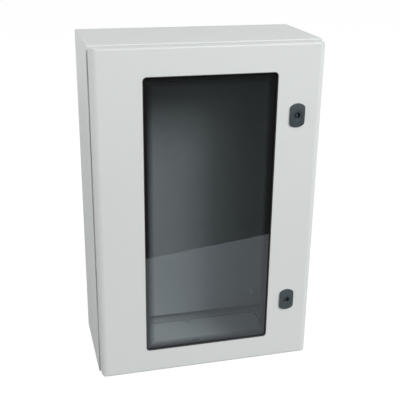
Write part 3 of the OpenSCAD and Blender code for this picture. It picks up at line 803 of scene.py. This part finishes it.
def satin_casting(name, colour):
    """Coated die casting: a fine even grain in the coat and a slight drift in its gloss."""
    finish, shader, place = new_finish(name)
    grain = noise(place, lock_grain_pitch)
    drift = noise(place, lock_drift_pitch)
    dark = tuple(lock_grain_dark * c for c in colour)
    light = tuple(lock_grain_light * c for c in colour)
    plug(shader, {
        "Base Color": blend(grain, dark, light),
        "Roughness": lock_rough + lock_rough_drift * drift,
        "Specular IOR Level": lock_specular,
        "Normal": bump(grain, lock_grain_height),
    })
    return finish


def plate_outline(half_w, half_h):
    """Centre, radius and turn of every point of the face plate's outline. The turn runs once round: level
    on the straight sides, where the centre moves, then over a corner, the arch and the other corner at
    each end."""
    arch_z = half_h - plate_arc_r
    corner_x = half_w - plate_corner_r
    corner_z = arch_z + math.sqrt((plate_arc_r - plate_corner_r) ** 2 - corner_x ** 2)
    meets = math.acos(corner_x / (plate_arc_r - plate_corner_r))
    side_z = np.linspace(-corner_z, corner_z, plate_side_steps, endpoint=False)
    turn = np.linspace(0.0, math.pi, plate_arch_steps, endpoint=False)
    arch = (turn > meets) & (turn < math.pi - meets)
    x = np.concatenate((0 * side_z + corner_x, np.where(arch, 0.0, np.sign(np.cos(turn)) * corner_x)))
    z = np.concatenate((side_z, np.where(arch, arch_z, corner_z)))
    radius = np.concatenate((0 * side_z + plate_corner_r, np.where(arch, plate_arc_r, plate_corner_r)))
    turn = np.concatenate((0 * side_z, turn))
    centre = np.stack((np.concatenate((x, -x)), np.concatenate((z, -z))), -1)
    return centre, np.tile(radius, 2), np.concatenate((turn, turn + math.pi))


def lock_housing(half_w, half_h):
    """Ring of rows round the lock's axis: out over the plate's back, up its side and round edge, in over
    the crown to the bore, down the bore and the neck, and back along the threaded tube. An outline row is
    its centre plus the radius less the inset towards the turn, and the crown falls away as a circle
    does."""
    centre, radius, turn = plate_outline(half_w, half_h)
    normal = np.stack((np.cos(turn), np.sin(turn)), -1)
    edge = np.linspace(0.0, math.pi / 2, plate_edge_steps)[:, None]
    inset = plate_edge_r * (1 - np.cos(edge))
    rim = centre + (radius - inset)[..., None] * normal
    outline = centre + radius[:, None] * normal
    spoke = outline / np.linalg.norm(outline, axis=1, keepdims=True)
    share = np.linspace(0.0, 1.0, plate_face_steps + 1)[1:, None, None]
    face = rim[-1] * (1 - share) + (bore_r + bore_lip) * spoke * share
    crown_r = (half_h ** 2 + plate_crown ** 2) / (2 * plate_crown)
    top = np.concatenate((rim, face))
    lift = np.concatenate((plate_edge_r * (1 - np.sin(edge[:, 0])), np.zeros(len(face))))[:, None]
    top_depth = lift - plate_proud + crown_r - np.sqrt(crown_r ** 2 - top[..., 1] ** 2)
    way = np.arange(tube_end - edge_break, -plate_seal_t, -tube_pitch / thread_rows)
    angle = np.arctan2(spoke[:, 1], spoke[:, 0])
    wave = np.abs(2 * ((way[:, None] / tube_pitch - angle / (2 * np.pi)) % 1) - 1)
    thread = tube_r - thread_depth * tube_pitch * wave
    bores = np.array((
        (bore_r, bore_lip - plate_proud), (bore_r, bore_end), (neck_bore_r, bore_end),
        (neck_bore_r, tube_end), (tube_r - 2 * edge_break, tube_end),
    ))
    round_r = np.concatenate((bores[:, :1] + 0 * angle, thread, tube_r + 0 * angle[None]))
    round_depth = np.concatenate((bores[:, 1], way, [-plate_seal_t]))[:, None] + 0 * angle
    flat = np.concatenate((outline[None], top, round_r[..., None] * spoke))
    depth = np.concatenate((0 * angle[None] - plate_seal_t, top_depth, round_depth))
    return np.stack((flat[..., 0], depth, flat[..., 1]), -1)


def barrel_rows(cam_front, length):
    """Rows of the key barrel: out over the post and wings, down to the bottom of the key recess, up its
    wall, over the face and back along the barrel and its neck to the square that carries the cam. At each
    turn the wings end where a ray leaves their rectangle, and the square where it leaves its own."""
    side = np.abs(np.sin(turns)) + level_guard
    tip = np.abs(np.cos(turns)) + level_guard
    wings = np.maximum(key_post_r, np.minimum(key_wing_half / side, key_wing_r / tip))
    square = np.minimum(cam_square / 2 / np.maximum(side, tip), neck_r)
    return rows(
        (0, key_top), (wings - edge_break, key_top), (wings, key_top + edge_break), (wings, key_depth),
        (key_r, key_depth), (key_r, edge_break), (key_r + edge_break, 0), (barrel_r - bore_lip, 0),
        (barrel_r, bore_lip), (barrel_r, barrel_end), (neck_r, barrel_end), (neck_r, cam_front),
        (square, cam_front), (square, length), (0, length),
    )


lock_casting = satin_casting("lock_casting", lock_grey)
for end in ("upper", "lower"):
    low, high = np.array(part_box(end + "_lock_housing"))
    half = (high - low) / 2
    axis_at = np.array([(low[0] + high[0]) / 2, door_face_y, (low[2] + high[2]) / 2])
    piece(
        end + "_lock_housing_cast", lock_casting, "door", [end + "_lock_housing"],
        axis_at + lock_housing(half[0], half[2]), ring=True,
    )
    barrel_low, barrel_high = np.array(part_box(end + "_lock_barrel"))
    cam_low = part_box(end + "_lock_cam")[0]
    barrel_foot = np.array([[axis_at[0], barrel_low[1], axis_at[2]]])
    barrel_shape = barrel_rows(cam_low[1] - barrel_low[1], barrel_high[1] - barrel_low[1])
    piece(
        end + "_lock_barrel_turned", lock_casting, end + "_lock", [end + "_lock_barrel"],
        turned(barrel_foot, backwards, *barrel_shape),
    )
    dress(black_rubber, end + "_lock_seal")
    dress(zinc, end + "_lock_cam")
    make_nuts(end + "_lock_nut", backwards, zinc, "door", lock_nut_hole_r)
    screw_feet, screw_l, washer_r = copies(end + "_lock_screw", backwards)
    piece(
        end + "_lock_screw_turned", zinc, end + "_lock", [end + "_lock_screw"],
        hex_screw(
            screw_feet, backwards, screw_l, cam_screw_r, washer_r, cam_washer_t, cam_head_r, cam_head_h,
        ),
    )

# The stage is a white table whose front edge lies about half a metre before the door, nearly square to
# the camera. Beyond it is the studio's dark floor, which the glass mirrors above the table's edge. A dark
# cloth, or flag, keeps the table's glare off the left side; only mirrored rays see it.
table_half_w = 6.0
table_depth = 12.0
table_edge_middle = Vector((0.115, -0.601))
table_edge_turn = math.radians(-12.8)
table_drop = 0.0005
table_grey = 0.12
table_glow = 0.95
fibre_pitch = 0.3
fibre_tone = 0.98
floor_drop = 0.70
floor_grey = 0.02
scuff_pitch = 0.4
scuff_tone = 1.2
stage_rough = 0.9
flag_corners = ((-4.0, -0.10), (-0.2005, -0.10), (-0.2005, 2.3), (-4.0, 2.3))
flag_lift = 0.0005


def flat_sheet(name, corners, height):
    """A flat four-cornered sheet at one height."""
    mesh = bpy.data.meshes.new(name)
    mesh.from_pydata([(x, y, height) for x, y in corners], [], [(0, 1, 2, 3)])
    sheet = bpy.data.objects.new(name, mesh)
    bpy.context.scene.collection.objects.link(sheet)
    return sheet


def seen_by(place):
    """1 for rays from the camera, from mirrors and through glass, and 0 for the rays that light
    things."""
    kinds = ("Is Camera Ray", "Is Glossy Ray", "Is Transmission Ray")
    first, second, third = (place.node("LightPath", {}, {}, kind) for kind in kinds)
    return first.at_least(second).at_least(third)


def white_table(name):
    """A table that is white to the eye: a dim lit coat, which takes the shadow, and a glow for seen
    rays."""
    finish, shader, place = new_finish(name)
    fibre = noise(place, fibre_pitch)
    plug(shader, {
        "Base Color": blend(fibre, (fibre_tone * table_grey,) * 3, (table_grey,) * 3),
        "Roughness": stage_rough,
        "Specular IOR Level": 0.0,
        "Emission Color": blend(seen_by(place), (0.0,) * 3, (table_glow,) * 3),
        "Emission Strength": 1.0,
    })
    return finish


def dark_floor(name):
    """Dark studio flooring with faint scuffs."""
    finish, shader, place = new_finish(name)
    scuff = noise(place, scuff_pitch)
    plug(shader, {
        "Base Color": blend(scuff, (floor_grey,) * 3, (scuff_tone * floor_grey,) * 3),
        "Roughness": stage_rough,
        "Specular IOR Level": 0.0,
    })
    return finish


edge_along = Vector((math.cos(table_edge_turn), math.sin(table_edge_turn)))
edge_back = Vector((-edge_along.y, edge_along.x))
table_left = table_edge_middle - edge_along * table_half_w
table_right = table_edge_middle + edge_along * table_half_w
table = flat_sheet(
    "table",
    [table_left, table_right, table_right + edge_back * table_depth, table_left + edge_back * table_depth],
    -table_drop,
)
table.data.materials.append(white_table("white_table"))
studio_floor = flat_sheet(
    "studio_floor",
    [table_left - edge_back * table_depth, table_right - edge_back * table_depth, table_right, table_left],
    -floor_drop,
)
dark_flooring = dark_floor("dark_floor")
studio_floor.data.materials.append(dark_flooring)
studio_floor.visible_camera = False
flag = flat_sheet("flag", [Vector(corner) for corner in flag_corners], flag_lift)
flag.data.materials.append(dark_flooring)
flag.visible_camera = flag.visible_diffuse = flag.visible_shadow = False

# The light is a large soft box well to the right and above, a smaller one before the enclosure, a weak
# low one on the left, two small ones beside and behind the enclosure on the left, and an even pale room.
# Each lamp has a name, a place, a width and a height, and a power in watts.
room_light = 0.242
room_white = 1.0
lamps = (
    ("key_softbox", (2.443, -3.539, 3.283), (2.9, 2.3), 236.0),
    ("front_softbox", (0.678, -2.582, 2.135), (1.8, 1.4), 22.0),
    ("left_fill", (-1.795, -2.614, 0.965), (1.8, 1.4), 6.6),
    ("side_softbox", (-1.890, -0.050, 0.499), (0.9, 0.9), 13.5),
    ("rear_softbox", (-1.503, 1.003, 0.792), (0.9, 0.9), 6.0),
)
lamp_aim = Vector((0.0, -0.05, 0.3))
for name, place, size, watts in lamps:
    lamp_data = bpy.data.lights.new(name, "AREA")
    lamp_data.shape = "RECTANGLE"
    lamp_data.size, lamp_data.size_y = size
    lamp_data.energy = watts
    lamp = bpy.data.objects.new(name, lamp_data)
    lamp.location = place
    lamp.rotation_euler = (lamp_aim - Vector(place)).to_track_quat("-Z", "Y").to_euler()
    bpy.context.scene.collection.objects.link(lamp)

world = bpy.data.worlds.new("white_room")
world.use_nodes = True
bpy.context.scene.world = world
room = world.node_tree.nodes["Background"]
room_place = Wire(world.node_tree.nodes.new("ShaderNodeTexCoord").outputs["Generated"])
plug(room, {"Color": blend(seen_by(room_place), (room_light,) * 3, (room_white,) * 3), "Strength": 1.0})
bpy.context.scene.view_settings.view_transform = "Standard"
